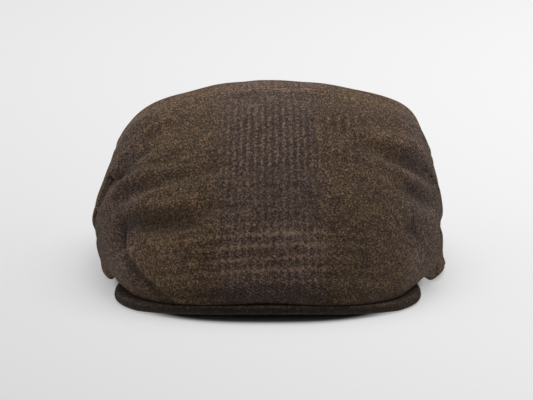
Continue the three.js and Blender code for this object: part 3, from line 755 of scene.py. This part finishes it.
def wool(name, shade=1.0, u_shift=0.0, v_shift=0.0, seed=0.0, roll_shade=0.0):
    mat = bpy.data.materials.new(name)
    mat.use_nodes = True
    t = mat.node_tree
    N = Nodes(t)
    M = N.math
    bsdf = next(n for n in t.nodes if n.type == "BSDF_PRINCIPLED")
    uvn = t.nodes.new("ShaderNodeUVMap")
    uvn.uv_map = "Cloth"
    sep = t.nodes.new("ShaderNodeSeparateXYZ")
    t.links.new(uvn.outputs[0], sep.inputs[0])
    u0 = M("MULTIPLY_ADD", sep.outputs[0], 100.0, u_shift)
    v0 = M("MULTIPLY_ADD", sep.outputs[1], 100.0, v_shift)
    P = N.combine(u0, v0, seed)
    # yarns wander a little, so stripes are never ruled lines
    u = M("ADD", u0, M("MULTIPLY_ADD", N.noise(P, 0.11, 3.0), 2.6, -1.3))
    v = M("ADD", v0, M("MULTIPLY_ADD", N.noise(N.combine(v0, u0, seed + 7.0), 0.10, 3.0), 3.0, -1.5))
    # napped fibres blur every edge of the check
    blur = M("MULTIPLY_ADD", N.noise(N.combine(u0, v0, seed + 41.0), 0.5, 3.0, 0.6), 9.0, -4.5)

    def band(x, lo, hi, repeat, soft):
        """1 between lo and hi of every repeat"""
        mid, half = (lo + hi) / 2, (hi - lo) / 2
        d = M("PINGPONG", M("SUBTRACT", x, mid - 40 * repeat), repeat / 2)
        return N.ramp(d, half - soft, half + soft, 1.0, 0.0)

    plum = band(M("ADD", u, M("MULTIPLY", blur, 2.0)), -23.0, 26.0, REPEAT_U, 7.5)
    middle = N.ramp(M("ABSOLUTE", u), 38.0, 60.0, 1.0, 0.35)
    vb = M("ADD", v, blur)
    dashes = band(vb, 50.0, 107.0, REPEAT_V, 4.0)
    lines = band(vb, 141.0, 170.5, REPEAT_V, 3.0)
    dark = M("MULTIPLY", band(vb, 171.5, 184.0, REPEAT_V, 2.0), plum)
    # light stripes of the plum columns, broken into slanting dashes
    wave = M("SINE", M("MULTIPLY", u, 2 * math.pi / STRIPE))
    broken = M("SINE", M("MULTIPLY", M("MULTIPLY_ADD", u, 0.55, v), 2 * math.pi / STRIPE))
    stripe = N.ramp(M("MULTIPLY_ADD", broken, 0.55, wave), -0.7, 1.0, -1.0, 1.0)
    stripe = M("MULTIPLY", stripe, M("MULTIPLY", M("MULTIPLY", plum, middle), M("MULTIPLY_ADD", dashes, 0.24, 0.28)))
    stripe = M("MULTIPLY", stripe, M("SUBTRACT", 1.0, M("MULTIPLY", dark, 0.8)))
    # light lines across
    across = M("SINE", M("MULTIPLY", M("MULTIPLY_ADD", u, 0.05, v), 2 * math.pi / LINE))
    slant = M("SINE", M("MULTIPLY", M("SUBTRACT", u, v), 2 * math.pi / 3.3))
    line = N.ramp(M("MULTIPLY_ADD", slant, 0.35, across), 0.05, 1.0, -0.45, 1.0)
    line = M("MULTIPLY", line, M("MULTIPLY", M("MULTIPLY_ADD", lines, 0.52, 0.10), M("MULTIPLY", middle, M("MULTIPLY_ADD", plum, 0.5, 0.5))))
    # olive dashes in the block beside the plum column
    dash = N.ramp(M("MULTIPLY_ADD", broken, 0.35, M("SINE", M("MULTIPLY", u, 2 * math.pi / 5.2))), -0.2, 1.0, -0.7, 1.0)
    dash = M("MULTIPLY", dash, M("MULTIPLY", N.ramp(M("ABSOLUTE", M("SUBTRACT", u, 38.0)), 8.0, 14.0, 1.0, 0.0), band(vb, 55.0, 102.0, REPEAT_V, 5.0)))
    stripe = M("MULTIPLY_ADD", dash, 0.34, stripe)
    # a fine weave everywhere
    weave = M("MULTIPLY", M("SINE", M("MULTIPLY", M("ADD", u, v), 2 * math.pi / 2.1)), 0.07)
    # heather: fibres of several colours felted together, brushed longer over the crest
    coord = t.nodes.new("ShaderNodeTexCoord")
    space = t.nodes.new("ShaderNodeMapping")
    space.inputs["Scale"].default_value = (800.0, 300.0, 1000.0)
    space.inputs["Rotation"].default_value = (0.0, 0.35, 0.0)
    space.inputs["Location"].default_value = (seed, 0.0, 0.0)
    t.links.new(coord.outputs["Object"], space.inputs["Vector"])
    fleck = N.noise(space.outputs[0], 1.12, 3.0, 0.80)
    fibre = N.noise(space.outputs[0], 2.3, 2.0, 0.75)
    mottle = N.noise(N.combine(u0, v0, seed + 19.0), 0.16, 3.0, 0.6)
    cloud = N.noise(N.combine(u0, v0, seed + 29.0), 0.035, 2.0, 0.5)
    hue = N.noise(N.combine(u0, v0, seed + 61.0), 0.30, 3.0, 0.65)
    # single long hairs lying over the nap
    hair_a = M("ABSOLUTE", M("SUBTRACT", N.noise(N.combine(M("MULTIPLY", u0, 0.5), v0, seed + 71.0), 0.50, 1.0), 0.5))
    hair_b = M("ABSOLUTE", M("SUBTRACT", N.noise(N.combine(u0, M("MULTIPLY", v0, 0.5), seed + 81.0), 0.47, 1.0), 0.5))
    hair = N.ramp(M("MINIMUM", hair_a, hair_b), 0.0, 0.030, 1.0, 0.0)
    hair = M("MULTIPLY", hair, N.ramp(fleck, 0.45, 0.62, 0.0, 1.0))

    def centred(x, gain):
        return M("MULTIPLY_ADD", x, gain, -0.5 * gain)

    pattern = M("ADD", M("ADD", stripe, line), weave)
    heather = M("ADD", centred(fleck, 7.2), M("ADD", centred(fibre, 7.4), centred(mottle, 1.6)))
    heather = M("MULTIPLY", heather, N.ramp(v0, 10.0, 70.0, 1.65, 1.0))
    heather = M("MULTIPLY", heather, N.ramp(M("ABSOLUTE", u0), 62.0, 92.0, 1.0, 1.35))
    tone = M("ADD", M("ADD", pattern, heather), M("MULTIPLY", hair, 0.85))
    tone = M("MULTIPLY_ADD", M("MULTIPLY", lines, M("MULTIPLY_ADD", plum, 0.38, 0.14)), 1.0, tone)
    tone = M("ADD", tone, centred(cloud, 0.5))
    tone = M("SUBTRACT", tone, M("MULTIPLY", dark, 0.30))
    ground = N.mix(N.ramp(hue, 0.44, 0.60, 0.0, 0.40), OLIVE, RUST)
    base = N.mix(M("MULTIPLY", plum, 0.82), ground, PLUM)
    light = N.mix(N.ramp(hue, 0.40, 0.62), TAN, SAND)
    tint = N.noise(space.outputs[0], 0.62, 2.0, 0.6)
    light = N.mix(N.ramp(tint, 0.50, 0.62, 0.0, 0.75), light, ROSE)
    light = N.mix(N.ramp(tint, 0.30, 0.44, 0.65, 0.0), light, STRAW)
    light = N.mix(M("MULTIPLY", plum, 0.45), light, ASH)
    color = N.mix(N.linear(tone, 0.0, 2.2, 0.0, 1.0), base, light)
    color = N.mix(N.linear(tone, -1.6, 0.0, 1.0, 0.0), color, DARK)
    # seams and hems: painted shade darkens the cloth in the groove along them, and the ridge beside it is rubbed
    # lighter
    at = t.nodes.new("ShaderNodeAttribute")
    at.attribute_name = "seam_distance"
    groove = N.ramp(at.outputs["Fac"], 0.1, 1.5, 0.34, 1.0)
    ridge = N.ramp(M("ABSOLUTE", M("SUBTRACT", at.outputs["Fac"], 2.9)), 0.0, 1.6, 1.20, 1.0)
    color = N.scale_color(color, M("MULTIPLY", groove, ridge))
    # painted shade and light: the cloth is darker in the fold valleys and lighter on the fold ridges, after the folds'
    # relief
    fold_shading = t.nodes.new("ShaderNodeAttribute")
    fold_shading.attribute_name = "relief"
    color = N.scale_color(color, N.linear(fold_shading.outputs["Fac"], -3.0, 3.0, 0.60, 1.40))
    # painted light: the cloth is lighter over the crest, where the light from above falls
    color = N.scale_color(color, N.ramp(M("ABSOLUTE", v0), 16.0, 52.0, 1.17, 1.0))
    # painted shade: the lower right of the front is darkened by up to 14%
    block = M("MULTIPLY", N.ramp(u0, 22.0, 44.0), N.ramp(v0, 122.0, 146.0))
    color = N.scale_color(color, M("MULTIPLY_ADD", block, -0.14, 1.0))
    # painted shade: the cloth darkens towards the lower edge of the front, under the front roll, over the check's own
    # dark band
    if roll_shade:
        color = N.scale_color(color, N.ramp(v, 168.0, 183.0, 1.0, 1.0 - roll_shade))
    # painted shade: shade scales the whole colour down for a part that stands in shadow
    color = N.scale_color(color, shade)
    t.links.new(color, bsdf.inputs["Base Color"])
    t.links.new(N.ramp(fleck, 0.2, 0.8, 0.98, 0.88), bsdf.inputs["Roughness"])
    bsdf.inputs["Specular IOR Level"].default_value = 0.18
    bsdf.inputs["Sheen Weight"].default_value = 0.17
    bsdf.inputs["Sheen Roughness"].default_value = 0.42
    bsdf.inputs["Sheen Tint"].default_value = (0.86, 0.66, 0.54, 1.0)
    height = M("MULTIPLY_ADD", tone, 0.35, M("MULTIPLY", mottle, 0.9))
    bump = t.nodes.new("ShaderNodeBump")
    bump.inputs["Strength"].default_value = 0.9
    bump.inputs["Distance"].default_value = 0.0006
    t.links.new(height, bump.inputs["Height"])
    t.links.new(bump.outputs[0], bsdf.inputs["Normal"])
    return mat


top = top_cloth()
left = side_cloth("left_side_cloth", -1)
right = side_cloth("right_side_cloth", 1)
brim = peak_cloth()
top.data.materials.append(wool("top_wool", 1.0, seed=1.0, roll_shade=0.35))
left.data.materials.append(wool("left_side_wool", 1.0, u_shift=8.0, v_shift=60.0, seed=5.0))
right.data.materials.append(wool("right_side_wool", 1.0, u_shift=-6.0, v_shift=60.0, seed=9.0))
# painted shade: the peak's wool is the crown's cloth at 0.60 of its brightness, for the shade under the crown
brim.data.materials.append(wool("peak_wool", 0.60, v_shift=20.0, seed=13.0))
for ob, node, slot in (
    (top, "top_panel", "top_cloth"),
    (left, "left_side_panel", "left_side_cloth"),
    (right, "right_side_panel", "right_side_cloth"),
    (brim, "peak", "peak_cloth"),
):
    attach(ob, "root")
    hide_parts(node)

# ------------------------------------------------------------------ floor and light
floor_mesh = bpy.data.meshes.new("floor")
ring = [(7 * math.cos(k * math.pi / 48), 7 * math.sin(k * math.pi / 48), -0.0002) for k in range(96)]
floor_mesh.from_pydata(ring, [], [tuple(range(96))])
floor = bpy.data.objects.new("floor", floor_mesh)
bpy.context.scene.collection.objects.link(floor)
floor_mat = bpy.data.materials.new("floor")
floor_mat.use_nodes = True
fb = next(n for n in floor_mat.node_tree.nodes if n.type == "BSDF_PRINCIPLED")
fn = Nodes(floor_mat.node_tree)
place = floor_mat.node_tree.nodes.new("ShaderNodeNewGeometry")
spread_xyz = floor_mat.node_tree.nodes.new("ShaderNodeSeparateXYZ")
floor_mat.node_tree.links.new(place.outputs["Position"], spread_xyz.inputs[0])
depth = fn.math("ADD", spread_xyz.outputs[1], 1.47)
# painted light: the paper's colour is lighter to the right and towards the back, as if lit more strongly there
sideways = fn.math("MULTIPLY", fn.math("DIVIDE", spread_xyz.outputs[0], depth), 0.60)
away = fn.math("MULTIPLY", fn.math("SUBTRACT", 0.68, fn.math("DIVIDE", 1.0, depth)), 0.42)
paper = fn.math("MULTIPLY", fn.math("ADD", fn.math("ADD", sideways, away), 1.0), 0.785)
paper = fn.math("MINIMUM", fn.math("MAXIMUM", paper, 0.5), 0.95)
dull = fn.math("MULTIPLY", paper, 0.495)
paper_color = fn.combine(dull, dull, dull)
floor_mat.node_tree.links.new(paper_color, fb.inputs["Base Color"])
# painted light: the paper glows, which lifts the cap's shadow on it; the glow fades out close round where the cap
# stands, leaving a painted contact shadow there
fx = fn.math("DIVIDE", spread_xyz.outputs[0], 0.083)
fy = fn.math("DIVIDE", spread_xyz.outputs[1], 0.1265)
foot = fn.math("POWER", fn.math("ADD", fn.math("POWER", fn.math("ABSOLUTE", fx), 2.6), fn.math("POWER", fn.math("ABSOLUTE", fy), 2.6)), 1 / 2.6)
lift = fn.ramp(foot, 0.955, 1.04, 0.0, 1.0)
painted_floor_glow = fn.math("MULTIPLY", fn.math("MULTIPLY", lift, paper), 0.50)
floor_mat.node_tree.links.new(fn.combine(painted_floor_glow, painted_floor_glow, painted_floor_glow), fb.inputs["Emission Color"])
fb.inputs["Emission Strength"].default_value = 1.0
fb.inputs["Roughness"].default_value = 0.9
fb.inputs["Specular IOR Level"].default_value = 0.1
floor.data.materials.append(floor_mat)

world = bpy.data.worlds.new("world")
bpy.context.scene.world = world
world.use_nodes = True
wt = world.node_tree
wt.nodes.clear()
out = wt.nodes.new("ShaderNodeOutputWorld")
mixer = wt.nodes.new("ShaderNodeMixShader")
path = wt.nodes.new("ShaderNodeLightPath")
dim = wt.nodes.new("ShaderNodeBackground")
dim.inputs[0].default_value = (0.98, 0.99, 1.0, 1)
dim.inputs[1].default_value = 0.20
seen = wt.nodes.new("ShaderNodeBackground")
seen.inputs[0].default_value = (0.86, 0.86, 0.865, 1)
seen.inputs[1].default_value = 1.0
wt.links.new(path.outputs["Is Camera Ray"], mixer.inputs[0])
wt.links.new(dim.outputs[0], mixer.inputs[1])
wt.links.new(seen.outputs[0], mixer.inputs[2])
wt.links.new(mixer.outputs[0], out.inputs[0])


def softbox(name, place, aim, size, power, color=(1, 1, 1)):
    data = bpy.data.lights.new(name, "AREA")
    data.shape = "RECTANGLE"
    data.size, data.size_y = size
    data.energy = power
    data.color = color
    ob = bpy.data.objects.new(name, data)
    bpy.context.scene.collection.objects.link(ob)
    ob.location = place
    ob.rotation_euler = (Vector(aim) - Vector(place)).to_track_quat("-Z", "Y").to_euler()
    return ob


softbox("overhead", (0.2, 0.25, 2.0), (0, 0, 0), (2.4, 2.4), 50)
softbox("left_side", (-2.3, 0.1, 0.7), (0, 0, 0.05), (1.6, 1.2), 6)
softbox("right_side", (2.3, 0.3, 0.7), (0, 0, 0.05), (1.6, 1.2), 4)
softbox("front_fill", (-0.6, -2.4, 1.3), (0, 0, 0.05), (1.6, 1.2), 1.8)
